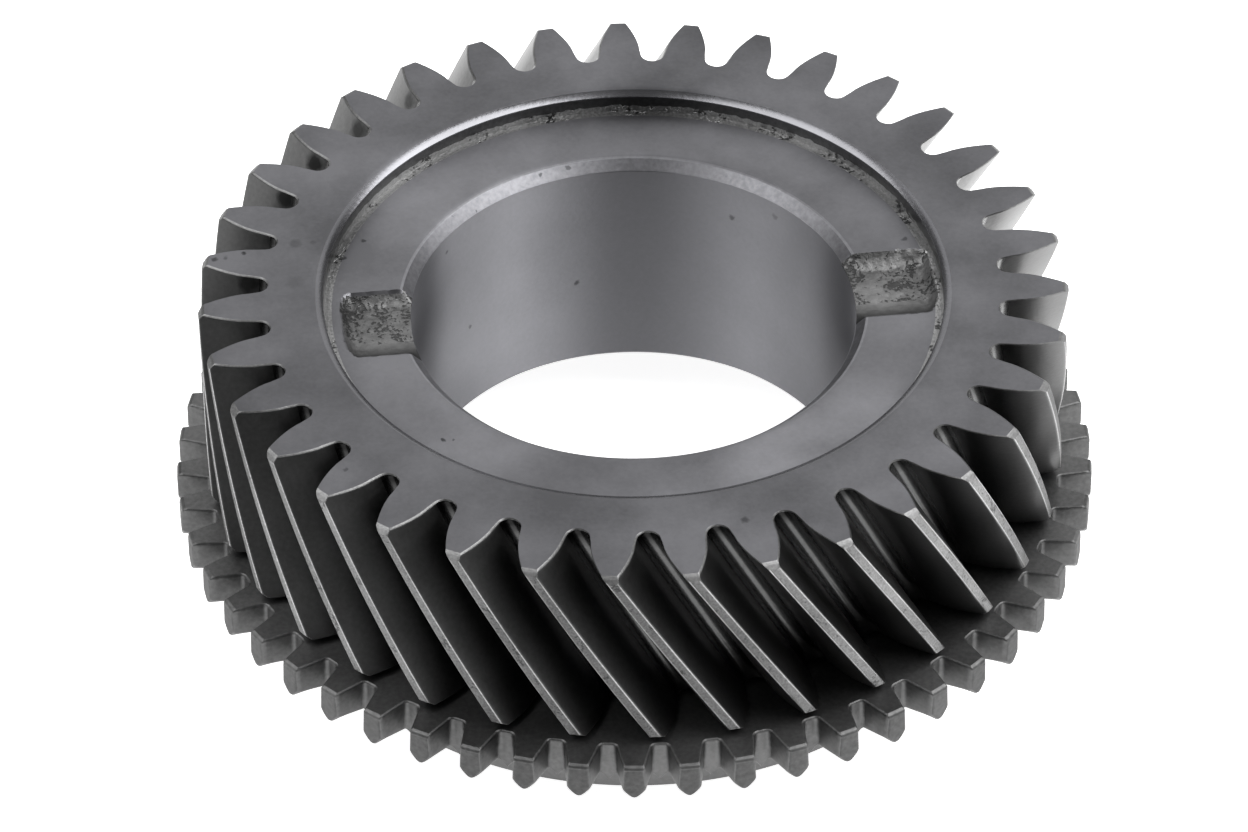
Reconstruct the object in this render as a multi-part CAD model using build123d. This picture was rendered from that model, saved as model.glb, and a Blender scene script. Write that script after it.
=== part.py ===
"""Loose helical speed gear of a truck gearbox, with its synchroniser ring pressed on.

Millimetres, +Z up along the gear's axis. z = 0 is the end of the friction cone, on which
the gear stands, and the thrust face with its recess is on top.
"""
from build123d import *
import math
import os

# ---- helical toothing ----
tooth_count = 35
normal_module = 3.45
normal_pressure_angle = 16.0
helix_angle = 28.7               # left hand, at the reference circle
addendum = 5.17                  # from the reference circle out to the tooth tips
dedendum = 6.58                  # from the reference circle in to the tooth roots
root_round_radius = 1.95         # the round at the bottom of each tooth space
flank_allowance = 0.05           # taken off each flank for backlash
face_width = 36.0
tip_chamfer_top = 0.9
tip_chamfer_bottom = 0.9
tooth_direction = 9.5            # where one tooth stands on the thrust face, degrees from +X
flank_points = 6                 # points that carry each involute

# ---- hub and bore ----
bore_diameter = 76.0
bore_chamfer_width = 1.75
bore_chamfer_depth = 1.9
hub_end_inset = 11.0             # from the end of the cone up to the hub's lower end face
hub_end_chamfer = 1.2

# ---- recess in the thrust face ----
rim_wall = 9.45                  # from the tooth roots in to the recess wall
recess_depth = 3.9
lead_width = 2.3                 # rounded lead from the thrust face down to the recess wall
lead_drop = 0.8
foot_round = 1.3                 # left at the foot of the recess wall

# ---- oil slots across the recess floor ----
slot_width = 17.0
slot_depth = 2.2
slot_draft = 28.0
slot_floor_fillet = 1.2
slot_corner = 2.5
slot_direction = 6.4
slot_insets = (1.0, 3.1)         # from the recess wall in to each slot's end, the first on +X

# ---- joint between the gear and the ring ----
spigot_chamfer = 0.5
shoulder_width = 6.0             # ledge outside the spigot, on which the ring seats
shoulder_height = 1.05           # free gap between the teeth and the ring

# ---- synchroniser ring ----
dog_count = 54
dog_tip_diameter = 158.9
dog_height = 5.8                 # from root to tip
ring_thickness = 8.25
dog_chamfer_width = 0.5
dog_chamfer_height = 0.75
dog_tip_width_top = 3.2          # measured round the tip, at the side of the gear teeth
dog_tip_width_bottom = 4.1       # wider below: the back taper that holds the gear engaged
dog_space_at_root = 2.7
dog_direction = 3.0              # where one dog tooth stands, degrees from +X
ridge_rise = 0.35                # the pointed end's ridge climbs this much from root to tip
facet_rise = 2.9                 # from the ridge to the flank, at the tip
notch_rise = 1.9                 # height of the facet's foot above the ring's face, at the root
ridge_flat = 0.5                 # half the blunt width of each ridge

# ---- friction cone ----
cone_length = 14.2
cone_end_diameter = 121.4
cone_half_angle = 6.5
cone_wall = 6.7                  # at the small end, out from the seat on the gear's spigot
cone_end_chamfer = 0.2

# ---- levels and radii that follow ----
ring_bottom = cone_length
ring_top = ring_bottom + ring_thickness
teeth_bottom = ring_top + shoulder_height
teeth_top = teeth_bottom + face_width
floor_level = teeth_top - recess_depth
transverse_module = normal_module / math.cos(math.radians(helix_angle))
reference_radius = tooth_count * transverse_module / 2
tip_radius = reference_radius + addendum
root_radius = reference_radius - dedendum
recess_radius = root_radius - rim_wall
bore_radius = bore_diameter / 2
cone_end_radius = cone_end_diameter / 2
spigot_radius = cone_end_radius - cone_wall
shoulder_radius = spigot_radius + shoulder_width
dog_tip_radius = dog_tip_diameter / 2
dog_root_radius = dog_tip_radius - dog_height
overcut = 1.0                    # how far cutting tools run past what they cut
seam_overlap = 0.05              # how far neighbouring dog cutters run into each other


def involute_angle(radius, base_radius):
    """Polar angle of an involute at a radius, from where it leaves the base circle."""
    pressure = math.acos(min(1.0, base_radius / radius))
    return math.tan(pressure) - pressure


def turned(points):
    """Solid of revolution about Z from (radius, height) corners."""
    outline = Plane.XZ * Polyline(*points, close=True)
    return revolve(make_face(outline), Axis.Z)


def tangent_from(point, centre_x, radius):
    """Where the tangent from a point above the X axis touches a circle centred on the axis."""
    dx, dy = centre_x - point[0], -point[1]
    distance = math.hypot(dx, dy)
    length = math.sqrt(distance ** 2 - radius ** 2)
    turn = math.atan2(dy, dx) - math.asin(radius / distance)
    return point[0] + length * math.cos(turn), point[1] + length * math.sin(turn)


def tooth_space_section():
    """Outline of one space between helical teeth, square to the axis, about +X."""
    normal_slope = math.tan(math.radians(normal_pressure_angle))
    pressure = math.atan(normal_slope / math.cos(math.radians(helix_angle)))
    base_radius = reference_radius * math.cos(pressure)
    half_space = math.pi / (2 * tooth_count) + flank_allowance / reference_radius
    at_base = half_space - involute_angle(reference_radius, base_radius)

    start = max(base_radius, root_radius + 1.25 * root_round_radius)
    end = tip_radius + overcut
    flank = []
    for i in range(flank_points):
        radius = start + (end - start) * i / (flank_points - 1)
        angle = at_base + involute_angle(radius, base_radius)
        flank.append((radius * math.cos(angle), radius * math.sin(angle)))

    round_radius = min(root_round_radius, 0.95 * flank[0][1])
    touch = tangent_from(flank[0], root_radius + round_radius, round_radius)
    mirrored = [(x, -y) for x, y in flank]
    lower_touch = (touch[0], -touch[1])
    outline = Curve() + [
        ThreePointArc(touch, (root_radius, 0), lower_touch),
        Line(touch, flank[0]),
        Spline(*flank),
        Line(flank[-1], mirrored[-1]),
        Spline(*mirrored),
        Line(lower_touch, mirrored[0]),
    ]
    return make_face(outline)


def tooth_space_cutter():
    """Left-hand helical solid of one tooth space, running past both ends of the teeth."""
    twist = math.degrees(math.tan(math.radians(helix_angle)) / reference_radius)
    length = face_width + 2 * overcut
    half_pitch = 180.0 / tooth_count
    start_angle = tooth_direction + half_pitch + twist * (face_width + overcut)
    bottom = teeth_bottom - overcut
    section = Pos(0, 0, bottom) * Rot(0, 0, start_angle) * tooth_space_section()
    return Solid.extrude_linear_with_rotation(
        section.face(), (0, 0, bottom), (0, 0, length), -twist * length)


def gear_blank():
    """The turned gear before its teeth are cut: hub, web, recess, spigot and tip chamfers."""
    lead_start = (recess_radius + lead_width, teeth_top)
    lead_end = (recess_radius, teeth_top - lead_drop)
    foot_start = (recess_radius, floor_level + foot_round)
    foot_end = (recess_radius - foot_round, floor_level)
    outline = Curve() + [
        TangentArc(lead_start, lead_end, tangent=(-1, 0)),
        Line(lead_end, foot_start),
        TangentArc(foot_start, foot_end, tangent=(0, -1)),
        Polyline(
            foot_end,
            (bore_radius + bore_chamfer_width, floor_level),
            (bore_radius, floor_level - bore_chamfer_depth),
            (bore_radius, hub_end_inset + hub_end_chamfer),
            (bore_radius + hub_end_chamfer, hub_end_inset),
            (spigot_radius - spigot_chamfer, hub_end_inset),
            (spigot_radius, hub_end_inset + spigot_chamfer),
            (spigot_radius, ring_top),
            (shoulder_radius, ring_top),
            (shoulder_radius, teeth_bottom),
            (tip_radius - tip_chamfer_bottom, teeth_bottom),
            (tip_radius, teeth_bottom + tip_chamfer_bottom),
            (tip_radius, teeth_top - tip_chamfer_top),
            (tip_radius - tip_chamfer_top, teeth_top),
            lead_start),
    ]
    return revolve(Plane.XZ * make_face(outline), Axis.Z)


def slot_cutter(reach):
    """Forged oil slot along +X, open to the bore, with drafted sides and round outer corners."""
    inner = bore_radius / 2
    outline = Pos((inner + reach) / 2, 0, floor_level) * RectangleRounded(
        reach - inner, slot_width, slot_corner)
    channel = extrude(outline, amount=-slot_depth, taper=slot_draft)
    channel = fillet(channel.faces().sort_by(Axis.Z)[0].edges(), slot_floor_fillet)
    clearance = extrude(outline, amount=foot_round)
    return channel + clearance


def helical_gear():
    """Gear with its helical teeth cut, its slots and its bore."""
    gear = gear_blank()
    space = tooth_space_cutter()
    pitch = 360.0 / tooth_count
    gear = gear - [Rot(0, 0, i * pitch) * space for i in range(tooth_count)]
    for i, inset in enumerate(slot_insets):
        slot = slot_cutter(recess_radius - inset)
        gear = gear - Rot(0, 0, slot_direction + 180.0 * i) * slot
    return gear


def ring_blank():
    """The turned ring: seat on the spigot, dog-tooth flange and friction cone."""
    cone_root_radius = cone_end_radius + cone_length * math.tan(math.radians(cone_half_angle))
    return turned([
        (spigot_radius + cone_end_chamfer, 0),
        (cone_end_radius - cone_end_chamfer, 0),
        (cone_end_radius, cone_end_chamfer),
        (cone_root_radius, ring_bottom),
        (dog_tip_radius, ring_bottom),
        (dog_tip_radius, ring_top - dog_chamfer_height),
        (dog_tip_radius - dog_chamfer_width, ring_top),
        (spigot_radius, ring_top),
        (spigot_radius, cone_end_chamfer),
    ])


def dog_space_cutter():
    """One space between dog teeth about +X, narrower at its lower end."""
    half_pitch_at_tip = math.pi * dog_tip_radius / dog_count
    run = (dog_height + overcut) / dog_height
    sections = []
    for level, tip_width in ((ring_top, dog_tip_width_top), (ring_bottom, dog_tip_width_bottom)):
        at_root = dog_space_at_root / 2
        at_tip = half_pitch_at_tip - tip_width / 2
        at_end = at_root + (at_tip - at_root) * run
        outline = Polyline(
            (dog_root_radius, -at_root),
            (dog_tip_radius + overcut, -at_end),
            (dog_tip_radius + overcut, at_end),
            (dog_root_radius, at_root),
            close=True)
        sections.append(Pos(0, 0, level) * make_face(outline))
    return loft(sections, ruled=True)


def pointing_cutter():
    """What is cut from below between two dog ridges: their facets and the notches at the root."""
    facet_slope = (ridge_rise + facet_rise - notch_rise) / dog_height
    ridge_slope = ridge_rise / dog_height
    notch_at_root = dog_space_at_root / 2
    notch_at_tip = (math.pi * dog_tip_radius / dog_count) - dog_tip_width_bottom / 2
    notch_slope = (notch_at_tip - notch_at_root) / dog_height
    low = -2 * overcut
    inner = max(dog_root_radius - 0.9 * notch_rise / facet_slope,
                dog_root_radius - 0.9 * notch_at_root / notch_slope)
    sections = []
    for radius in (inner, dog_tip_radius + overcut):
        along = radius - dog_root_radius
        ridge = radius * math.tan(math.pi / dog_count)
        seam = ridge + seam_overlap
        notch = notch_at_root + notch_slope * along
        notch_height = notch_rise + facet_slope * along
        ridge_height = ridge_slope * along
        facet_fall = (notch_height - ridge_height) / (ridge - notch)
        blunt_height = ridge_height + facet_fall * ridge_flat
        right = [(0, 0), (notch, notch_height), (ridge - ridge_flat, blunt_height),
                 (seam, blunt_height), (seam, low)]
        left = [(-y, z) for y, z in reversed(right[1:])]
        plane = Plane(origin=(radius, 0, ring_bottom), x_dir=(0, 1, 0), z_dir=(1, 0, 0))
        sections.append(plane * make_face(Polyline(*right, *left, close=True)))
    return loft(sections, ruled=True)


def clutch_ring():
    """Ring of pointed, back-tapered dog teeth with the friction cone below them."""
    ring = ring_blank()
    space = dog_space_cutter()
    pointing = pointing_cutter()
    pitch = 360.0 / dog_count
    turns = [Rot(0, 0, dog_direction + (i + 0.5) * pitch) for i in range(dog_count)]
    ring = ring - [turn * space for turn in turns]
    return ring - [turn * pointing for turn in turns]


def main():
    os.makedirs("parts", exist_ok=True)
    pieces = {"helical_gear": helical_gear(), "clutch_ring": clutch_ring()}
    for name, piece in pieces.items():
        solids = piece.solids()
        print(name, len(solids), "solid,", round(piece.volume), "mm3")
        export_step(solids[0] if len(solids) == 1 else piece, f"parts/{name}.step")


main()
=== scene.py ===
"""Looks of the helical transmission gear: fine meshes, steels, studio light, floor and camera."""
import math
import bmesh
import bpy
from mathutils import Matrix, Vector, noise


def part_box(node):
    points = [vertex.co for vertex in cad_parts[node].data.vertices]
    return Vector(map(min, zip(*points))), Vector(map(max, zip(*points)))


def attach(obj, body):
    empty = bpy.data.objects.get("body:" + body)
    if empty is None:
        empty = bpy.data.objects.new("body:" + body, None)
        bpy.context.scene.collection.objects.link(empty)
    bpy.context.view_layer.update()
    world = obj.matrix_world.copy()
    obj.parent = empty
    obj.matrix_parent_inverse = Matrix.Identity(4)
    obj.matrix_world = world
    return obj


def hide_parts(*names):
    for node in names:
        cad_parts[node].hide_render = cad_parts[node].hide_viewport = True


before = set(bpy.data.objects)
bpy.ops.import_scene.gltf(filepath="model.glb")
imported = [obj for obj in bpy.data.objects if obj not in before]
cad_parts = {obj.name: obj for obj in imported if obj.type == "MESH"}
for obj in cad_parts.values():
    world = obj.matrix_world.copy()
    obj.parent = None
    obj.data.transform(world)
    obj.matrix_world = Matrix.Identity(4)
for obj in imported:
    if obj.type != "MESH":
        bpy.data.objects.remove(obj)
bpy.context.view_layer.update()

mm = 0.001                       # the sizes below are millimetres and degrees
gear_low, gear_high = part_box("helical_gear")
ring_low, ring_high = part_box("clutch_ring")
teeth_top = gear_high.z / mm
hub_end = gear_low.z / mm
ring_top = ring_high.z / mm

# ---- helical toothing ----
tooth_count = 35
normal_module = 3.45
normal_pressure_angle = 16.0
helix_angle = 28.7
addendum = 5.17
dedendum = 6.58
root_round_radius = 1.95
flank_allowance = 0.05           # backlash of each flank
tooth_direction = 9.5            # of a tooth at the thrust face, from the X axis
tip_chamfer = 0.9                # turned on both ends of the teeth
chamfer_steps = 4
edge_break = 0.18                # brushed edge round the end faces
tip_break = 0.1                  # how far the tip corners are worn down
teeth_bottom_gap = 1.05          # between the teeth and the clutch ring
flank_start = 1.25               # of the root round's radius, above the root
widest_root_round = 0.95         # of half the space at the flank's start
flank_steps = 7
root_steps = 8
land_steps = 3
level_steps = 12

# ---- meshes ----
crease_angle = 40.0
face_crease_angle = 15.0         # where a machined face ends
merge_distance = 0.002
least_normal_sum = 1.2           # squared, of two normals, so that insets don't shoot out
tiny = 1e-6

# ---- thrust face, recess and bore ----
rim_wall = 9.45
recess_depth = 3.9
face_rows = (61.2, 59.5, 57.5)   # radii on the thrust face
lead_width = 2.3                 # rounded lead from the thrust face down to the recess wall
lead_drop = 0.8
lead_steps = 7
lead_face_steps = 3              # still of the thrust face's finish
wall_edge = 0.2                  # from the lead to the first row of the wall
foot_round = 1.1                 # left at the foot of the recess wall, torn by the tool
foot_steps = 6
foot_edge = 0.3                  # from the foot to the first row of the floor
floor_steps = 24
eased_width = 0.9                # between the floor and the bore's chamfer
eased_row = (0.35, 0.06)         # outside the chamfer and below the floor
chamfer_row = (-0.1, 0.25)       # the chamfer's upper row, likewise
chamfer_shares = (0.33, 0.66)    # where the rows down the chamfer stand
chamfer_foot_break = 0.1
bore_radius = 38.0
bore_chamfer_width = 1.75
bore_chamfer_depth = 1.9
bore_first_row = 2.5             # below the recess floor
bore_rows = (50.0, 45.0, 38.0, 30.0, 21.0)
hub_end_row = 46.0
hub_end_chamfer = 1.2
spigot_chamfer = 0.5

# ---- forged oil slots ----
slot_width = 17.0
slot_depth = 2.2
slot_direction = 6.4             # of the right slot, from the X axis
slot_insets = (1.0, 3.1)         # from the recess wall to the right and the left slot's end
slot_near_ramp = 6.0             # the side towards the front runs down gently
slot_far_ramp = 2.8
slot_end_ramp = 2.4
slot_columns = 24                # grid lines on each side of a slot's middle
slot_spacing = 0.425
sector_columns = 300             # grid lines between the slots
slot_rows = (3.0, 1.0)           # lowest row below the floor, highest below the thrust face
slot_skin_depth = 0.12           # where the forged skin starts
slot_skin_rise = 0.7             # strips that rise more aren't forged
shaded_ramp_share = 0.95            # of the near ramp, that is smooth and gets painted shade

# ---- unevenness: layers of noise as (size, repeats, which noise) ----
slot_edge_noise = ((0.2, 0.55, 3.0), (0.16, 1.3, 8.0))
slot_skin_noise = ((0.16, 0.7, 0.0), (0.1, 1.7, 5.0))
slot_skin_fade = (2.0, 1.4)      # at the slot's border, and up its near ramp
foot_slow_noise = ((1.0, 9, 2.0),)
foot_fast_noise = ((1.0, 40, 6.0), (0.6, 85, 4.0))
foot_bite_noise = ((1.0, 24, 11.0), (0.5, 60, 1.0))
bite_start = 0.3                 # of the noise
bite_slope = 5
foot_lift = (0.14, -0.35)        # of the fast noise and the bites, along the arc
foot_top_lift = (0.3, 0.3)       # of the slow and the fast noise, at the wall
foot_shift = (0.4, 0.3)          # likewise, inwards at the floor

# ---- clutch ring ----
dog_count = 54
dog_height = 5.8
dog_tip_width_top = 3.2
dog_tip_width_bottom = 4.1
dog_space_at_root = 2.7
dog_root_fillet = 0.9
dog_direction = 3.0              # of a tooth, from the X axis
dog_chamfer_width = 0.5
dog_chamfer_height = 0.75
dog_chamfer_end = 0.25           # eased over this height
# rows down the upper edge: depth, how far inside the tips, and inset of the outline
dog_edge_rows = ((0.0, dog_chamfer_width, 0.3), (0.12, 0.36, 0.12), (0.3, 0.22, 0.0),
                 (dog_chamfer_height, 0.03, 0.0),
                 (dog_chamfer_height + dog_chamfer_end, 0.0, 0.0))
dog_corner = 0.3                 # width of the broken corner at the tips
dog_corner_row = (0.09, 0.07)    # inside the tip, and along it
dog_root_steps = 3
dog_fillet_steps = 5
dog_flank_steps = 6
dog_tip_steps = 6
dog_level_steps = 6
dog_point_break = 0.22           # round the lower end of the teeth
under_radius = 65.2              # where the points run out into the flat underside
under_steps = 9
dog_top_width = 1.0              # plain top face inside the spaces between the teeth
ridge_rise = 0.35
facet_rise = 2.9
notch_rise = 1.9
ridge_round = 0.8
narrowest_notch = 0.01
cone_length = 14.2
cone_end_radius = 60.7
cone_half_angle = 6.5
cone_wall = 6.7
cone_columns = 8                 # for each dog tooth
cone_rows = (11.0, 7.5, 4.0)
cone_edge = 0.2
# rounded corner where the underside meets the cone: outside the cone, below the underside
cone_corner_rows = ((0.8, 0.0, "under"), (0.3, 0.15, "cone"), (-0.05, 0.6, "cone"))
shoulder_width = 6.0
shoulder_row = 61.0              # on the gear's lower face

# ---- what follows ----
helix = math.radians(helix_angle)
reference_radius = tooth_count * normal_module / math.cos(helix) / 2
tip_radius = reference_radius + addendum
root_radius = reference_radius - dedendum
recess_radius = root_radius - rim_wall
floor_level = teeth_top - recess_depth
teeth_bottom = ring_top + teeth_bottom_gap
spigot_radius = cone_end_radius - cone_wall
shoulder_radius = spigot_radius + shoulder_width
dog_tip_radius = (ring_high.y - ring_low.y) / 2 / mm
dog_root_radius = dog_tip_radius - dog_height
half_pitch = math.pi / tooth_count
dog_half_pitch = math.pi / dog_count


def clamp(value):
    return max(0.0, min(1.0, value))


def smooth(value):
    value = clamp(value)
    return value * value * (3 - 2 * value)


def grain(x, y, z=0.0):
    """Smooth noise between about -1 and 1."""
    return noise.noise(Vector((x, y, z)))


def layered(x, y, layers):
    """Layers of noise on each other."""
    return sum(size * grain(rate * x, rate * y, which) for size, rate, which in layers)


def round_the_axis(radius, angle, height):
    return radius * math.cos(angle), radius * math.sin(angle), height


class Surface:
    """Rings of points about the axis, joined by strips of faces that each have a material."""

    def __init__(self, materials):
        self.materials = materials
        self.kinds = list(materials)
        self.points = []
        self.faces = []
        self.slots = []

    def ring(self, points):
        start = len(self.points)
        self.points.extend(points)
        return list(range(start, len(self.points)))

    def face(self, corners, kind):
        self.faces.append(corners)
        self.slots.append(self.kinds.index(kind))

    def strip(self, upper, lower, kind, creased=False):
        """Faces between two rings of as many points; creased ones split on the outer diagonal."""
        count = len(upper)
        for j in range(count):
            k = (j + 1) % count
            corners = (upper[j], upper[k], lower[k], lower[j])
            name = kind(j) if callable(kind) else kind
            if creased:
                for part in self.split(corners):
                    self.face(part, name)
            else:
                self.face(corners, name)

    def split(self, corners):
        a, b, c, d = corners
        p, q, r, s = (Vector(self.points[i]) for i in corners)
        outward = (s - q).cross(r - p)
        if (p + r - q - s).dot(outward) > 0:
            return (a, b, c), (a, c, d)
        return (a, b, d), (b, c, d)

    def bridge(self, first, second, kind):
        """Triangles between two rings with different numbers of points."""
        full = 2 * math.pi
        start_angle = math.atan2(self.points[first[0]][1], self.points[first[0]][0])

        def unrolled(ring):
            angles = []
            for i in ring:
                x, y, _ = self.points[i]
                turn = (math.atan2(y, x) - start_angle) % full
                angles.append(turn if turn < full - tiny else 0.0)
            start = angles.index(min(angles))
            turned_ring = ring[start:] + ring[:start]
            turned_angles = angles[start:] + angles[:start]
            return turned_ring + turned_ring[:1], turned_angles + [turned_angles[0] + full]

        ring_a, angle_a = unrolled(first)
        ring_b, angle_b = unrolled(second)
        i = j = 0
        while i < len(first) or j < len(second):
            if j == len(second) or (i < len(first) and angle_a[i + 1] <= angle_b[j + 1]):
                self.face((ring_a[i], ring_a[i + 1], ring_b[j]), kind)
                i += 1
            else:
                self.face((ring_a[i], ring_b[j + 1], ring_b[j]), kind)
                j += 1

    def crease_of(self, edge):
        """The bend at which an edge is sharp; less where a machined face ends."""
        kinds = {self.kinds[face.material_index] for face in edge.link_faces}
        ends = len(kinds) > 1 and kinds & {"face", "top", "bore_edge"} and "lead" not in kinds
        return math.radians(face_crease_angle if ends else crease_angle)

    def build(self, name):
        """The closed mesh as an object in metres, smooth between creases."""
        data = bpy.data.meshes.new(name)
        data.from_pydata([Vector(p) * mm for p in self.points], [], self.faces)
        data.polygons.foreach_set("material_index", self.slots)
        for material in self.materials.values():
            data.materials.append(material)
        shape = bmesh.new()
        shape.from_mesh(data)
        bmesh.ops.remove_doubles(shape, verts=shape.verts, dist=merge_distance * mm)
        bmesh.ops.dissolve_degenerate(shape, edges=shape.edges, dist=merge_distance * mm)
        bmesh.ops.recalc_face_normals(shape, faces=shape.faces)
        for face in shape.faces:
            face.smooth = True
        for edge in shape.edges:
            edge.smooth = edge.is_manifold and edge.calc_face_angle() < self.crease_of(edge)
        shape.to_mesh(data)
        shape.free()
        piece = bpy.data.objects.new(name, data)
        bpy.context.scene.collection.objects.link(piece)
        return piece


def inset_profile(half, depth):
    """A half profile of (radius, angle) points moved into the metal by a depth."""
    flat = [(r * math.cos(a), r * math.sin(a)) for r, a in half]
    last = half[-1][1]
    before = (flat[1][0], -flat[1][1])
    beyond_angle = 2 * last - half[-2][1]
    beyond = (half[-2][0] * math.cos(beyond_angle), half[-2][0] * math.sin(beyond_angle))
    padded = [before] + flat + [beyond]
    moved = []
    reached = 0.0
    for i, (x, y) in enumerate(flat):
        normals = []
        for (ax, ay), (bx, by) in ((padded[i], (x, y)), ((x, y), padded[i + 2])):
            length = math.hypot(bx - ax, by - ay)
            if length > tiny:
                normals.append(((ay - by) / length, (bx - ax) / length))
        nx, ny = sum(n[0] for n in normals), sum(n[1] for n in normals)
        share = max(nx * nx + ny * ny, least_normal_sum) / len(normals)
        px, py = x + depth * nx / share, y + depth * ny / share
        reached = min(last, max(reached, math.atan2(py, px)))
        moved.append((math.hypot(px, py), reached))
    return moved


def around(half, count, first_angle, half_step, height):
    """A whole ring of points from the half profile of one space, repeated about the axis."""
    whole = [(r, -a) for r, a in reversed(half[1:])] + half[:-1]
    points = []
    for i in range(count):
        centre = first_angle + 2 * half_step * i
        points += [round_the_axis(r, centre + a, height) for r, a in whole]
    return points


def half_strip(index, steps):
    """Which strip of the half profile a strip of the whole ring is."""
    place = index % (2 * steps)
    return steps - 1 - place if place < steps else place - steps


# ---- the gear's teeth ----
def involute_angle(radius, base_radius):
    pressure = math.acos(min(1.0, base_radius / radius))
    return math.tan(pressure) - pressure


def root_arc(first_flank, round_radius):
    """Points of the round at the bottom of a tooth space, from its middle to the flank."""
    centre_x = root_radius + round_radius
    x, y = (first_flank[0] * math.cos(first_flank[1]), first_flank[0] * math.sin(first_flank[1]))
    distance = math.hypot(centre_x - x, y)
    lean = math.atan2(-y, centre_x - x) - math.asin(round_radius / distance)
    reach = math.sqrt(distance ** 2 - round_radius ** 2)
    touch = (x + reach * math.cos(lean), y + reach * math.sin(lean))
    end = math.atan2(touch[1], touch[0] - centre_x)
    arc = []
    for i in range(root_steps + 1):
        angle = math.pi + (end - math.pi) * i / root_steps
        px, py = centre_x + round_radius * math.cos(angle), round_radius * math.sin(angle)
        arc.append((math.hypot(px, py), math.atan2(py, px)))
    return arc


def tooth_profile():
    """Half of a tooth space and half a tooth as (radius, angle), and where the tip corner is."""
    slope = math.tan(math.radians(normal_pressure_angle))
    pressure = math.atan(slope / math.cos(helix))
    base_radius = reference_radius * math.cos(pressure)
    half_space = half_pitch / 2 + flank_allowance / reference_radius
    at_base = half_space - involute_angle(reference_radius, base_radius)

    def on_flank(radius):
        return radius, at_base + involute_angle(radius, base_radius)

    start = max(base_radius, root_radius + flank_start * root_round_radius)
    end = tip_radius - tip_chamfer
    radii = [start + (end - start) * i / flank_steps for i in range(flank_steps)]
    radii += [tip_radius - tip_chamfer * k / chamfer_steps for k in range(chamfer_steps, -1, -1)]
    flank = [on_flank(r) for r in radii]
    half_width = flank[0][0] * math.sin(flank[0][1])
    arc = root_arc(flank[0], min(root_round_radius, widest_root_round * half_width))
    corner = flank[-1][1]
    flank[-1] = (tip_radius - tip_break, corner)
    first = corner + edge_break / tip_radius
    land = [(tip_radius, first + (half_pitch - first) * i / land_steps)
            for i in range(land_steps + 1)]
    return arc + flank + land, len(arc) + len(flank) - 1


def toothed_ring(surface, profile, height, limit, inset=0.0):
    """One level of the helical teeth, cut down to a limiting radius."""
    turn = math.tan(helix) / reference_radius * (teeth_top - height)
    half = [(min(r, limit), a) for r, a in profile]
    if inset:
        half = inset_profile(half, inset)
    first_angle = math.radians(tooth_direction) + half_pitch + turn
    return surface.ring(around(half, tooth_count, first_angle, half_pitch, height))


def toothed_body(surface):
    """The helical teeth with chamfered ends; gives the rings at their top and bottom faces."""
    profile, corner = tooth_profile()
    steps = len(profile) - 1
    step = tip_chamfer / chamfer_steps
    levels = [(teeth_top, chamfer_steps, edge_break)]
    levels += [(teeth_top - tip_chamfer + k * step, k, 0) for k in range(chamfer_steps - 1, -1, -1)]
    top, bottom = teeth_top - tip_chamfer, teeth_bottom + tip_chamfer
    levels += [(top + (bottom - top) * i / level_steps, 0, 0) for i in range(1, level_steps)]
    levels += [(teeth_bottom + tip_chamfer - k * step, k, 0) for k in range(chamfer_steps)]
    levels += [(teeth_bottom, chamfer_steps, edge_break)]
    rings = [toothed_ring(surface, profile, height, tip_radius - k * step, inset)
             for height, k, inset in levels]
    for i in range(len(rings) - 1):
        cut = max(levels[i][1], levels[i + 1][1])
        broken = levels[i][2] or levels[i + 1][2]

        def kind(j, cut=cut, broken=broken):
            if broken:
                return "edge"
            strip = half_strip(j, steps)
            if strip < root_steps:
                return "root"
            if strip < corner - cut:
                return "flank"
            if cut:
                return "chamfer"
            return "corner" if strip == corner else "land"

        surface.strip(rings[i], rings[i + 1], kind, creased=cut > 0)
    return rings[0], rings[-1]


def level_circle(surface, ring, radius):
    """A plane circle at a ring's own angles and height."""
    points = []
    for i in ring:
        x, y, z = surface.points[i]
        points.append(round_the_axis(radius, math.atan2(y, x), z))
    return surface.ring(points)


# ---- the turned and forged surfaces inside the teeth ----
def slot_depth_at(x, y):
    """How deep the forged slots are below the recess floor at a place."""
    deepest = 0.0
    ragged = layered(x, y, slot_edge_noise)
    border_fade, ramp_fade = slot_skin_fade
    for side, inset in zip((1, -1), slot_insets):
        heading = math.radians(slot_direction) + (0 if side > 0 else math.pi)
        along = x * math.cos(heading) + y * math.sin(heading)
        if along < 0:
            continue
        back = side * (y * math.cos(heading) - x * math.sin(heading))
        half = slot_width / 2 + ragged
        near = 1 - clamp((half + back) / slot_near_ramp)
        far = 1 - clamp((half - back) / slot_far_ramp)
        end = 1 - clamp((recess_radius - inset + ragged - along) / slot_end_ramp)
        share = 1 - near ** 2 - far ** 2 - end ** 2
        if share > 0:
            faded = smooth(border_fade * share) * layered(x, y, slot_skin_noise)
            deepest = slot_depth * share + faded * smooth(ramp_fade * (1 - near))
    return deepest


def torn_foot(x, y, share):
    """Height and inward shift of the torn round at the wall's foot; share runs down its arc."""
    angle = math.atan2(y, x)
    heading = math.cos(angle), math.sin(angle)
    slow = layered(*heading, foot_slow_noise)
    fast = layered(*heading, foot_fast_noise)
    bite = smooth(bite_slope * (layered(*heading, foot_bite_noise) - bite_start))
    middle = math.sin(math.pi * share)
    lift = middle * (foot_lift[0] * fast + foot_lift[1] * bite)
    lift += (1 - share) * (foot_top_lift[0] * slow + foot_top_lift[1] * fast)
    return lift, (foot_shift[0] * slow + foot_shift[1] * fast) * share


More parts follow.
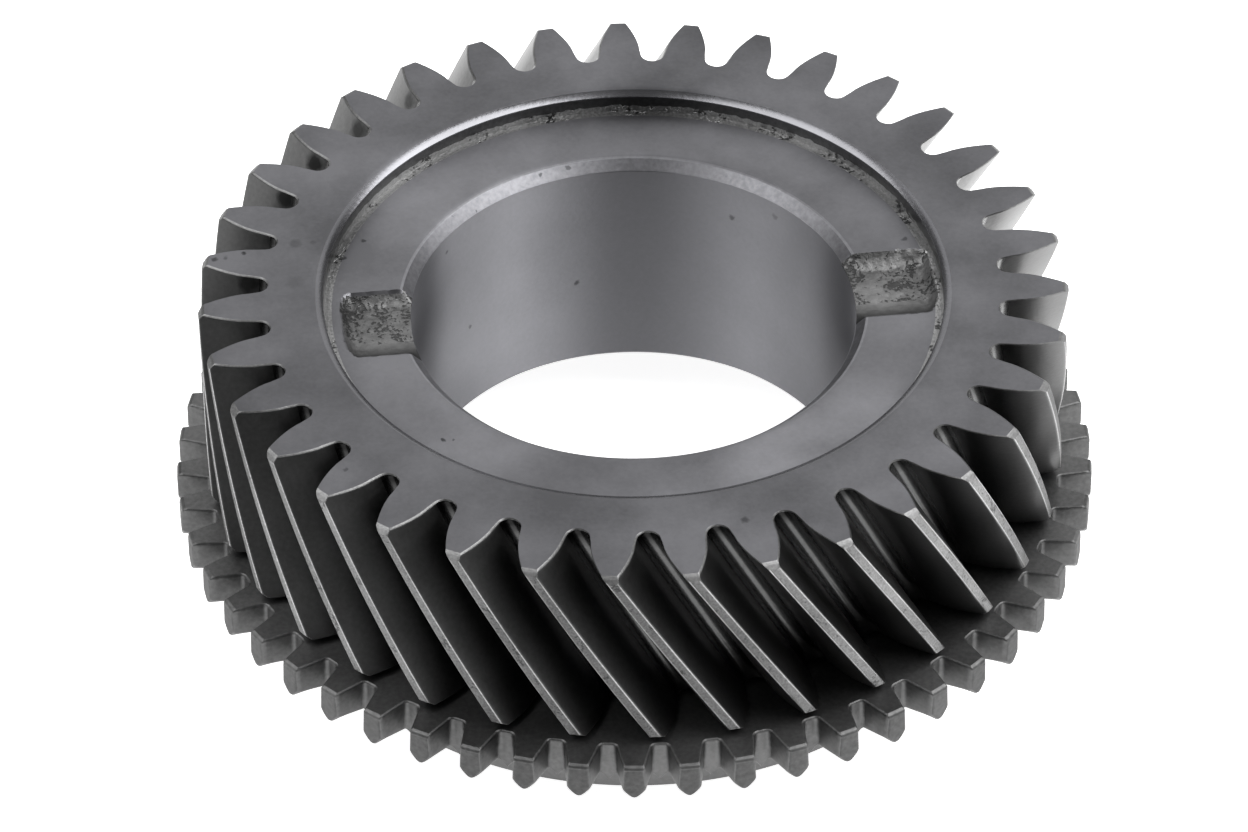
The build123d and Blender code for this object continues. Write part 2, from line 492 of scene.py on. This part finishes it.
def grid_angles(radius):
    """Angles of the grid lines at a radius: straight along the slots, even between them."""
    reach = slot_columns * slot_spacing
    half_window = math.asin(reach / radius)
    window = [math.asin(slot_spacing * k / radius) for k in range(-slot_columns, slot_columns)]
    span = math.pi - 2 * half_window
    sector = [half_window + span * k / sector_columns for k in range(sector_columns)]
    half_turn = window + sector
    return [math.radians(slot_direction) + side + a for side in (0, math.pi) for a in half_turn]


def grid_ring(surface, radius, height, slotted=False, torn=None):
    """A ring on the grid, pressed down into the slots or roughened at the wall's foot."""
    points = []
    for angle in grid_angles(radius):
        x, y, z = round_the_axis(radius, angle, height)
        if torn is not None:
            lift, shift = torn_foot(x, y, torn)
            x, y, z = round_the_axis(radius - shift, angle, max(height + lift, floor_level))
        if slotted:
            z = min(z, floor_level - slot_depth_at(x, y))
        points.append((x, y, z))
    return surface.ring(points)


def lead_rows():
    """The rounded lead: an arc that leaves the thrust face smoothly and ends at the wall."""
    radius = (lead_width ** 2 + lead_drop ** 2) / (2 * lead_drop)
    whole = math.asin(lead_width / radius)
    return [(recess_radius + lead_width - radius * math.sin(whole * i / lead_steps),
             teeth_top - radius * (1 - math.cos(whole * i / lead_steps)),
             "face" if i < lead_face_steps else "lead")
            for i in range(lead_steps + 1)]


def recess_rows():
    """Rows of the thrust face, the recess, the bore and the hub: radius, height, what they are."""
    chamfer_radius = bore_radius + bore_chamfer_width
    chamfer_foot = floor_level - bore_chamfer_depth
    wall_foot = floor_level + foot_round
    rows = [(r, teeth_top, "face") for r in face_rows] + lead_rows()
    rows += [(recess_radius, teeth_top - lead_drop - wall_edge, "wall"),
             (recess_radius, (teeth_top - lead_drop + wall_foot) / 2, "wall")]
    for i in range(foot_steps + 1):
        turn = math.pi / 2 * i / foot_steps
        rows.append((recess_radius - foot_round * (1 - math.cos(turn)),
                     wall_foot - foot_round * math.sin(turn), ("foot", i / foot_steps)))
    inner = recess_radius - foot_round - foot_edge
    eased = chamfer_radius + eased_width
    rows += [(inner + (eased - inner) * i / floor_steps, floor_level, "floor")
             for i in range(floor_steps + 1)]
    rows.append((chamfer_radius + eased_row[0], floor_level - eased_row[1], "eased"))
    upper = (chamfer_radius + chamfer_row[0], floor_level - chamfer_row[1])
    lower = (bore_radius + chamfer_foot_break, chamfer_foot + chamfer_foot_break)
    rows += [(upper[0] + (lower[0] - upper[0]) * t, upper[1] + (lower[1] - upper[1]) * t,
              "bore_edge") for t in (0.0,) + chamfer_shares]
    rows += [(*lower, "bore"), (bore_radius, chamfer_foot, "bore")]
    rows += [(bore_radius, height, "bore")
             for height in (floor_level - bore_first_row,) + bore_rows]
    rows += [(bore_radius, hub_end + hub_end_chamfer, "bore_edge"),
             (bore_radius + hub_end_chamfer, hub_end, "face"),
             (hub_end_row, hub_end, "face"),
             (spigot_radius - spigot_chamfer, hub_end, "face"),
             (spigot_radius, hub_end + spigot_chamfer, "face"),
             (spigot_radius, ring_top, "face"), (shoulder_radius, ring_top, "face"),
             (shoulder_radius, teeth_bottom, "face"), (shoulder_row, teeth_bottom, "face")]
    return rows


def gear_piece(materials):
    """The whole gear as one closed mesh."""
    surface = Surface(materials)
    top, bottom = toothed_body(surface)
    previous = level_circle(surface, top, root_radius - 2 * edge_break)
    surface.strip(previous, top, "face")
    lowest, highest = floor_level - slot_rows[0], teeth_top - slot_rows[1]
    kind = None
    for radius, height, what in recess_rows():
        torn = what[1] if isinstance(what, tuple) else None
        slotted = bore_radius <= radius < recess_radius and lowest < height < highest
        ring = grid_ring(surface, radius, height, slotted, torn)
        if kind is None:
            surface.bridge(previous, ring, "face")
        else:
            surface.strip(previous, ring, strip_kind(surface, previous, ring, kind, slotted))
        previous, kind = ring, what[0] if isinstance(what, tuple) else what
    last = level_circle(surface, bottom, root_radius - 2 * edge_break)
    surface.bridge(previous, last, "face")
    surface.strip(last, bottom, "face")
    return surface.build("gear_steel_body")


def strip_kind(surface, upper, lower, kind, slotted):
    """The material of a strip, with the slots' forged skin where they cut into it."""
    if not slotted:
        return kind
    heading = math.radians(slot_direction)

    def pick(j):
        above, below = (Vector(surface.points[ring[j]]) for ring in (upper, lower))
        middle = (above + below) / 2
        forged = kind in ("floor", "foot", "eased") or abs(above.z - below.z) < slot_skin_rise
        if not forged or slot_depth_at(middle.x, middle.y) < slot_skin_depth:
            return kind
        back = middle.y * math.cos(heading) - middle.x * math.sin(heading)
        # the smooth near ramp of a slot, which carries painted shade
        return "shaded_slot_ramp" if slot_width / 2 + back < shaded_ramp_share * slot_near_ramp else "slot"

    return pick


# ---- the clutch ring ----
def dog_profile(tip_width):
    """Half a space and half a dog tooth as (radius, angle) points."""
    at_root = dog_space_at_root / 2
    at_tip = dog_tip_radius * dog_half_pitch - tip_width / 2
    lean = math.atan2(at_tip - at_root, dog_height)
    reach = dog_root_fillet * math.tan((math.pi / 2 - lean) / 2)
    points = [((at_root - reach) * i / dog_root_steps, 0.0) for i in range(dog_root_steps)]
    for i in range(dog_fillet_steps + 1):
        turn = (math.pi / 2 - lean) * i / dog_fillet_steps
        points.append((at_root - reach + dog_root_fillet * math.sin(turn),
                       dog_root_fillet * (1 - math.cos(turn))))
    flank_start_height = points[-1][1]
    for i in range(1, dog_flank_steps + 1):
        run = dog_height - dog_corner - flank_start_height
        along = flank_start_height + run * i / dog_flank_steps
        points.append((at_root + (at_tip - at_root) * along / dog_height, along))
    outline = [(dog_root_radius + along, across) for across, along in points]
    half = [(math.hypot(x, y), math.atan2(y, x)) for x, y in outline]
    tip_start = math.atan2(at_tip, dog_tip_radius)
    inside, beside = dog_corner_row
    half.append((dog_tip_radius - inside, tip_start + beside / dog_tip_radius))
    first = tip_start + dog_corner / dog_tip_radius
    half += [(dog_tip_radius, first + (dog_half_pitch - first) * i / dog_tip_steps)
             for i in range(dog_tip_steps + 1)]
    return half


def point_height(radius, angle):
    """Height of the pointed underside above the ring's lower face, from the middle of a space."""
    along = radius - dog_root_radius
    across = radius * math.sin(angle)
    at_root = dog_space_at_root / 2
    at_tip = dog_tip_radius * dog_half_pitch - dog_tip_width_bottom / 2
    notch = at_root + (at_tip - at_root) * along / dog_height
    notch_height = notch_rise + (ridge_rise + facet_rise - notch_rise) * along / dog_height
    ridge_height = ridge_rise * along / dog_height
    ridge = radius * math.sin(dog_half_pitch)
    if notch_height <= 0 or notch <= narrowest_notch:
        return 0.0
    if across < notch:
        return max(0.0, notch_height * across / notch)
    fall = (notch_height - ridge_height) / (ridge - notch)
    from_ridge = ridge - across
    return max(0.0, ridge_height + fall * math.hypot(from_ridge, ridge_round))


def dog_rings(surface):
    """Levels of the dog teeth from their top face down to the pointed underside."""
    top_profile = dog_profile(dog_tip_width_top)
    low_profile = dog_profile(dog_tip_width_bottom)
    full = ring_top - cone_length
    levels = [(drop, dog_tip_radius - inside, inset) for drop, inside, inset in dog_edge_rows]
    levels += [(i / dog_level_steps, dog_tip_radius, None) for i in range(1, dog_level_steps + 1)]
    rings = []
    start = dog_chamfer_height + dog_chamfer_end
    first_angle = math.radians(dog_direction) + dog_half_pitch
    for drop, limit, inset in levels:
        half = []
        heights = []
        for (r0, a0), (r1, a1) in zip(top_profile, low_profile):
            low = ring_top - (cone_length + point_height(r1, a1) + dog_point_break)
            depth = drop if inset is not None else start + (low - start) * drop
            share = depth / full
            half.append((min(limit, r0 + (r1 - r0) * share), a0 + (a1 - a0) * share))
            heights.append(ring_top - depth)
        if inset:
            half = inset_profile(half, inset)
        rings.append(surface.ring(raised(half, heights, first_angle)))
    return rings, half, first_angle


def raised(half, heights, first_angle):
    """A ring whose height follows the half profile."""
    whole = list(zip(half, heights))
    whole = [((r, -a), z) for (r, a), z in reversed(whole[1:])] + whole[:-1]
    points = []
    for i in range(dog_count):
        centre = first_angle + 2 * dog_half_pitch * i
        points += [round_the_axis(r, centre + a, z) for (r, a), z in whole]
    return points


def ring_piece(materials):
    """Clutch teeth, ring body and friction cone as one closed mesh."""
    surface = Surface(materials)
    rings, half, first_angle = dog_rings(surface)
    steps = len(half) - 1
    root_columns = dog_root_steps + dog_fillet_steps
    edge_strips = len(dog_edge_rows) - 1

    def wall_kind(j):
        place = half_strip(j, steps)
        if place < root_columns:
            return "root"
        return "tip" if place > root_columns + dog_flank_steps else "flank"

    for i in range(len(rings) - 1):
        kind = "top_edge" if i < edge_strips - 1 else wall_kind
        surface.strip(rings[i], rings[i + 1], kind, creased=i < edge_strips)
    previous = rings[-1]
    for i in range(under_steps + 1):
        rows = []
        for r, a in half:
            outer = r - dog_point_break
            rows.append((outer + (under_radius - outer) * (i / under_steps), a))
        heights = [cone_length + point_height(r, a) for r, a in rows]
        ring = surface.ring(raised(rows, heights, first_angle))
        surface.strip(previous, ring, "under")
        previous = ring
    columns = cone_columns * dog_count
    slope = math.tan(math.radians(cone_half_angle))
    cone_top_radius = cone_end_radius + cone_length * slope
    rows = [(cone_top_radius + outside, cone_length - below, kind)
            for outside, below, kind in cone_corner_rows]
    rows += [(cone_top_radius - (cone_length - height) * slope, height, "cone")
             for height in cone_rows]
    rows += [(cone_end_radius, cone_edge, "cone"), (cone_end_radius - cone_edge, 0.0, "cone"),
             (spigot_radius + cone_edge, 0.0, "cone"), (spigot_radius, cone_edge, "cone"),
             (spigot_radius, ring_top, "cone")]
    for index, (radius, height, kind) in enumerate(rows):
        circle = surface.ring([round_the_axis(radius, 2 * math.pi * k / columns, height)
                               for k in range(columns)])
        if index == 0:
            surface.bridge(previous, circle, "under")
        else:
            surface.strip(previous, circle, kind)
        previous = circle
    inner_top = level_circle(surface, rings[0], dog_root_radius - dog_top_width)
    surface.bridge(previous, inner_top, "top")
    surface.strip(inner_top, rings[0], "top")
    return surface.build("clutch_ring_body")


# ---- materials ----
# nicks and smudges: x, y, z and radius in mm, and the share of the light that they leave
floor_marks = ((-45.5, 24.7, 55.6, 0.6, 0.25), (-46.5, 17.1, 55.6, 0.5, 0.4),
               (-49.7, 12.5, 55.6, 0.6, 0.4), (46.9, 16.7, 55.6, 0.6, 0.5),
               (-31.8, -35.0, 55.6, 0.5, 0.3), (-30.2, -35.0, 55.6, 0.4, 0.5))
face_marks = ((17.8, -59.6, 59.5, 0.9, 0.5), (-57.9, 11.7, 59.5, 1.4, 0.75),
              (-54.8, 11.9, 59.5, 0.8, 0.8), (-57.6, 1.5, 59.5, 2.0, 0.85),
              (-47.6, -46.7, 59.5, 0.6, 0.6), (-71.5, 7.6, 59.5, 0.7, 0.4),
              (-69.8, 8.0, 59.5, 0.6, 0.6), (-66.6, 9.2, 59.5, 0.6, 0.25))
chamfer_marks = ((-31.2, 24.3, 54.9, 0.4, 0.3), (-27.0, 26.7, 54.2, 0.4, 0.3),
                 (-16.0, 35.7, 54.9, 0.5, 0.4), (-11.3, 37.6, 54.9, 0.5, 0.5),
                 (28.5, 25.3, 54.2, 0.4, 0.4))
bore_marks = ((-32.2, 20.1, 50.5, 0.6, 0.5), (-9.9, 36.7, 29.5, 0.7, 0.4),
              (-28.8, 24.8, 29.4, 0.5, 0.5), (17.4, 33.8, 46.5, 0.7, 0.5),
              (24.8, 28.8, 50.8, 0.8, 0.7))
# darker spots at the upper ends of some tooth roots, over flank and root
root_top_dark_spots = ((-48.1, 45.1, 57.7, 2.3, 0.35), (-55.5, 35.9, 57.7, 2.3, 0.2),
           (-39.3, 53.1, 57.8, 1.9, 0.4), (-60.0, 25.3, 58.4, 2.2, 0.3),
           (-65.6, 2.6, 58.4, 2.2, 0.4))


class Steel:
    """A metal with slow and fine patches in its tone and gloss, and a little relief.

    The mottle is a share of the tone, the grain's size and its bump are in mm, cool is the
    share of blue against red, and fine_share is how much of the patches is fine.
    """

    patch_scale = 50                 # of the slow patches, in repeats to the metre
    tone_reach = (0.35, 0.65)        # of the noise, from the darkest to the lightest tone
    gloss_reach = (0.3, 0.7)         # of the noise, from the smoothest to the roughest
    gloss_spread = 0.1               # of the roughness
    quarter_turn = 0.25              # spreads the highlights across the turning marks
    pit_rarity = 0.6                 # how fast the noise thins out towards its peaks
    pit_border = 0.09                # of the noise, from unharmed metal to the pit's bottom
    pit_gathering = 6                # how much larger than a pit a patch of them is
    grain_depth = 0.1                # a pit of this depth is as deep as the grain is high
    mark_core = 0.5                  # share of a mark's radius that is fully dark
    ragged_size = 1.2                # mm, of the borders of nicks and smudges
    painted_shade_left = 0.2                   # share of the tone that the painted shade leaves
    root_shade_radii = (63.3, 65.5)       # mm, where the painted shade at the tooth roots ends
    root_shade_heights = (55.8, 58.4)     # mm, where it starts and where it is full

    def __init__(self, name, tone, roughness, mottle=0.15, grain_size=0.8, bump=0.02, cool=1.0,
                 fine_share=0.45):
        self.material = bpy.data.materials.new(name)
        self.material.use_nodes = True
        self.nodes = self.material.node_tree.nodes
        self.shader = self.nodes["Principled BSDF"]
        self.shader.inputs["Metallic"].default_value = 1.0
        self.place = self.nodes.new("ShaderNodeTexCoord").outputs["Object"]
        self.fine = self.cloud(1 / (grain_size * mm), 4)
        slow = self.cloud(self.patch_scale, 5)
        part = self.combine("MULTIPLY", self.fine, fine_share)
        blend = self.combine("MULTIPLY_ADD", slow, 1 - fine_share, part)
        ramp = self.nodes.new("ShaderNodeValToRGB")
        ends = zip(ramp.color_ramp.elements, self.tone_reach, (1 - mottle, 1 + mottle))
        for element, position, share in ends:
            element.position = position
            element.color = (tone * share, tone * share, cool * tone * share, 1)
        self.link(blend, ramp.inputs["Fac"])
        self.colour = ramp.outputs["Color"]
        self.link(self.colour, self.shader.inputs["Base Color"])
        gloss = self.ranged(slow, *self.gloss_reach, roughness * (1 - self.gloss_spread),
                            roughness * (1 + self.gloss_spread))
        self.link(gloss, self.shader.inputs["Roughness"])
        self.relief = self.nodes.new("ShaderNodeBump")
        self.relief.inputs["Distance"].default_value = bump * mm
        self.link(self.fine, self.relief.inputs["Height"])
        self.link(self.relief.outputs["Normal"], self.shader.inputs["Normal"])

    def link(self, output, socket):
        self.material.node_tree.links.new(output, socket)

    def cloud(self, scale, detail):
        texture = self.nodes.new("ShaderNodeTexNoise")
        texture.inputs["Scale"].default_value = scale
        texture.inputs["Detail"].default_value = detail
        self.link(self.place, texture.inputs["Vector"])
        return texture.outputs["Fac"]

    def combine(self, operation, *values):
        node = self.nodes.new("ShaderNodeMath")
        node.operation = operation
        for socket, value in zip(node.inputs, values):
            if isinstance(value, float):
                socket.default_value = value
            else:
                self.link(value, socket)
        return node.outputs[0]

    def ranged(self, source, low, high, to_low, to_high):
        node = self.nodes.new("ShaderNodeMapRange")
        node.inputs["From Min"].default_value = low
        node.inputs["From Max"].default_value = high
        node.inputs["To Min"].default_value = to_low
        node.inputs["To Max"].default_value = to_high
        self.link(source, node.inputs["Value"])
        return node.outputs["Result"]

    def vector(self, operation, source, constant):
        node = self.nodes.new("ShaderNodeVectorMath")
        node.operation = operation
        self.link(source, node.inputs[0])
        node.inputs[1].default_value = constant
        return node

    def dim(self, factor):
        """The tone multiplied by a factor that varies over the surface."""
        node = self.nodes.new("ShaderNodeVectorMath")
        node.operation = "SCALE"
        self.link(self.colour, node.inputs[0])
        self.link(factor, node.inputs["Scale"])
        self.colour = node.outputs["Vector"]
        self.link(self.colour, self.shader.inputs["Base Color"])
        return self

    def turned(self, lay):
        """Fine marks that run round the axis and spread the highlights across them."""
        tangent = self.nodes.new("ShaderNodeTangent")
        tangent.direction_type = "RADIAL"
        tangent.axis = "Z"
        self.link(tangent.outputs["Tangent"], self.shader.inputs["Tangent"])
        self.shader.inputs["Anisotropic"].default_value = lay
        self.shader.inputs["Anisotropic Rotation"].default_value = self.quarter_turn
        return self

    def pitted(self, size, share, left, depth):
        """Dark pits that gather in patches: size in mm, share of the surface, light left."""
        edge = 1.0 + self.pit_rarity * (0.5 - share)
        patches = self.combine("ADD", self.cloud(1 / (self.pit_gathering * size * mm), 2),
                               self.cloud(1 / (size * mm), 4))
        mask = self.ranged(patches, edge, edge + self.pit_border, 0.0, 1.0)
        bottom = self.combine("MULTIPLY", mask, -depth / self.grain_depth)
        self.link(self.combine("ADD", self.fine, bottom), self.relief.inputs["Height"])
        return self.dim(self.ranged(mask, 0.0, 1.0, 1.0, left))

    def marked(self, marks):
        """Single nicks and smudges with ragged borders."""
        ragged = self.nodes.new("ShaderNodeTexNoise")
        ragged.inputs["Scale"].default_value = 1 / (self.ragged_size * mm)
        self.link(self.place, ragged.inputs["Vector"])
        shift = self.vector("MULTIPLY_ADD", ragged.outputs["Color"], (self.ragged_size * mm,) * 3)
        self.link(self.place, shift.inputs[2])
        shifted = self.vector("ADD", shift.outputs["Vector"], (-self.ragged_size / 2 * mm,) * 3)
        factor = None
        for x, y, z, radius, left in marks:
            gap = self.vector("DISTANCE", shifted.outputs["Vector"], (x * mm, y * mm, z * mm))
            spot = self.ranged(gap.outputs["Value"], self.mark_core * radius * mm, radius * mm,
                               left, 1.0)
            factor = spot if factor is None else self.combine("MULTIPLY", factor, spot)
        return self.dim(factor)

    def painted_slot_shade(self):
        """Painted shade on the front side of the slots, darker towards their front edge."""
        heading = math.radians(slot_direction)
        across = self.vector("DOT_PRODUCT", self.place,
                             (-math.sin(heading), math.cos(heading), 0)).outputs["Value"]
        edge = -slot_width / 2
        return self.dim(self.ranged(across, edge * mm, (edge + slot_near_ramp) * mm,
                                    self.painted_shade_left, 1.0))

    def painted_root_end_shade(self):
        """Painted shade where the tooth roots meet the thrust face, darker towards their upper
        ends.
        """
        flat = self.vector("MULTIPLY", self.place, (1, 1, 0)).outputs["Vector"]
        radius = self.vector("LENGTH", flat, (0, 0, 0)).outputs["Value"]
        axis = self.nodes.new("ShaderNodeSeparateXYZ")
        self.link(self.place, axis.inputs[0])
        near = self.ranged(radius, *(r * mm for r in self.root_shade_radii), 1.0, 0.0)
        high = self.ranged(axis.outputs["Z"], *(z * mm for z in self.root_shade_heights), 0.0, 1.0)
        both = self.combine("MULTIPLY", near, high)
        return self.dim(self.ranged(both, 0.0, 1.0, 1.0, self.painted_shade_left))


def gear_materials():
    turned_tint = 1.06               # how much bluer turned and ground faces are
    steels = {
        # flank and root steels carry painted shade at the upper ends of the tooth roots
        "flank": Steel("flank_steel", 0.085, 0.33).painted_root_end_shade().marked(root_top_dark_spots),
        "root": Steel("tooth_root_steel", 0.07, 0.24).painted_root_end_shade().marked(root_top_dark_spots),
        "land": Steel("tip_steel", 0.22, 0.55, mottle=0.45, grain_size=0.4, bump=0.06).turned(1.0)
        .pitted(0.5, 0.25, 0.5, 0.05),
        "corner": Steel("tip_corner_steel", 0.34, 0.45, mottle=0.4, grain_size=0.4),
        "chamfer": Steel("chamfer_steel", 0.18, 0.45, mottle=0.3, grain_size=0.4),
        "edge": Steel("broken_edge_steel", 0.16, 0.42, mottle=0.35, grain_size=0.5),
        "face": Steel("thrust_face_steel", 0.14, 0.42, mottle=0.28, cool=turned_tint,
                      fine_share=0.15).turned(0.3).marked(face_marks),
        "lead": Steel("recess_lead_steel", 0.18, 0.26, cool=turned_tint, fine_share=0.2)
        .turned(0.3),
        "wall": Steel("recess_wall_steel", 0.08, 0.35, mottle=0.3),
        "foot": Steel("torn_foot_steel", 0.28, 0.38, mottle=0.35, grain_size=0.5, bump=0.12)
        .pitted(0.9, 0.25, 0.25, 0.1),
        "eased": Steel("eased_edge_steel", 0.22, 0.36, cool=turned_tint),
        "floor": Steel("recess_floor_steel", 0.178, 0.42, mottle=0.24, cool=turned_tint,
                       fine_share=0.15).turned(0.6).marked(floor_marks),
        # both slot steels carry painted shade, darker towards the slots' front side
        "slot": Steel("forged_slot_steel", 0.15, 0.52, mottle=0.45, grain_size=1.2, bump=0.2,
                      fine_share=0.3).pitted(0.65, 0.42, 0.42, 0.1).painted_slot_shade(),
        "shaded_slot_ramp": Steel("shaded_slot_ramp_steel", 0.15, 0.5, mottle=0.45, grain_size=1.2, bump=0.12,
                          fine_share=0.3).painted_slot_shade(),
        "bore_edge": Steel("bore_chamfer_steel", 0.18, 0.4, mottle=0.25, cool=turned_tint)
        .turned(0.4).marked(chamfer_marks),
        "bore": Steel("ground_bore_steel", 0.255, 0.5, mottle=0.1, cool=turned_tint,
                      fine_share=0.2).turned(1.0).marked(bore_marks),
    }
    return {kind: steel.material for kind, steel in steels.items()}


def ring_materials():
    steels = {
        "tip": Steel("dog_tip_steel", 0.1, 0.5, mottle=0.3, bump=0.03).turned(0.9),
        "flank": Steel("dog_flank_steel", 0.1, 0.42, mottle=0.25),
        "root": Steel("dog_root_steel", 0.1, 0.45, mottle=0.25),
        "top": Steel("dog_top_steel", 0.14, 0.45, mottle=0.25),
        "top_edge": Steel("dog_edge_steel", 0.11, 0.48, mottle=0.3),
        "under": Steel("dog_underside_steel", 0.12, 0.45, mottle=0.25),
        "cone": Steel("cone_steel", 0.2, 0.4, mottle=0.15).turned(0.8),
    }
    return {kind: steel.material for kind, steel in steels.items()}


# ---- camera, light and floor: metres and degrees, the lens in mm ----
view_elevation = 41.147
view_roll = 0.379
view_distance = 1.0571
view_offset = (0.0016, 0.0222)   # of the thrust face's centre in the view, right and up
lens = 179.45
sensor_width = 36.0
clip_distances = (0.01, 20.0)
world_tone, world_strength = 0.8, 0.16
floor_size = 8
floor_tone, floor_roughness, floor_glow = 0.9, 0.9, 0.88
# azimuth and elevation in degrees, distance, width and height, power in watts
softboxes = {
    "left_box": (-84, 54, 1.2, (1.1, 1.0), 11),
    "right_box": (85, 54, 1.2, (1.2, 1.0), 19),
    "back_box": (180, 35, 1.6, (1.8, 1.4), 7.5),
    "low_left_strip": (-92, 9, 1.3, (1.2, 0.3), 1.5),
    "low_right_strip": (108, 9, 1.3, (1.2, 0.3), 1.6),
}


def aim_camera(face_centre):
    """Long lens looking down on the thrust face from the front."""
    elevation, roll = math.radians(view_elevation), math.radians(view_roll)
    forward = Vector((0, math.cos(elevation), -math.sin(elevation)))
    level_up = Vector((0, math.sin(elevation), math.cos(elevation)))
    level_right = Vector((1, 0, 0))
    right = level_right * math.cos(roll) - level_up * math.sin(roll)
    up = level_right * math.sin(roll) + level_up * math.cos(roll)
    place = face_centre - right * view_offset[0] - up * view_offset[1] - forward * view_distance
    data = bpy.data.cameras.new("camera")
    data.lens = lens
    data.sensor_width = sensor_width
    data.clip_start, data.clip_end = clip_distances
    camera = bpy.data.objects.new("camera", data)
    bpy.context.scene.collection.objects.link(camera)
    camera.matrix_world = Matrix((
        (right.x, up.x, -forward.x, place.x),
        (right.y, up.y, -forward.y, place.y),
        (right.z, up.z, -forward.z, place.z),
        (0, 0, 0, 1)))
    bpy.context.scene.camera = camera


def softbox(name, azimuth, elevation, distance, size, power):
    """Area light aimed at the gear; azimuth is measured from the camera's side, rightwards."""
    turn, rise = math.radians(azimuth), math.radians(elevation)
    place = Vector((math.sin(turn) * math.cos(rise), -math.cos(turn) * math.cos(rise),
                    math.sin(rise))) * distance
    data = bpy.data.lights.new(name, "AREA")
    data.shape = "RECTANGLE"
    data.size, data.size_y = size
    data.energy = power
    light = bpy.data.objects.new(name, data)
    light.location = place
    light.rotation_euler = (-place).to_track_quat("-Z", "Y").to_euler()
    bpy.context.scene.collection.objects.link(light)


def floor():
    """Pale floor that glows enough to come out white, as in a product shot."""
    bpy.ops.mesh.primitive_plane_add(size=floor_size)
    plane = bpy.context.object
    plane.name = "floor"
    material = bpy.data.materials.new("floor_white")
    material.use_nodes = True
    shader = material.node_tree.nodes["Principled BSDF"]
    shader.inputs["Base Color"].default_value = (floor_tone, floor_tone, floor_tone, 1)
    shader.inputs["Roughness"].default_value = floor_roughness
    shader.inputs["Emission Color"].default_value = (1, 1, 1, 1)
    shader.inputs["Emission Strength"].default_value = floor_glow
    plane.data.materials.append(material)


def studio():
    """Soft boxes, and a world that fills the shadows."""
    world = bpy.data.worlds.new("studio")
    world.use_nodes = True
    background = world.node_tree.nodes["Background"]
    background.inputs["Color"].default_value = (world_tone, world_tone, world_tone, 1)
    background.inputs["Strength"].default_value = world_strength
    bpy.context.scene.world = world
    for name, settings in softboxes.items():
        softbox(name, *settings)
    bpy.context.scene.view_settings.view_transform = "Standard"


gear = gear_piece(gear_materials())
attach(gear, "root")
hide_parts("helical_gear")

ring = ring_piece(ring_materials())
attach(ring, "root")
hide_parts("clutch_ring")

aim_camera(Vector((0, 0, gear_high.z)))
floor()
studio()
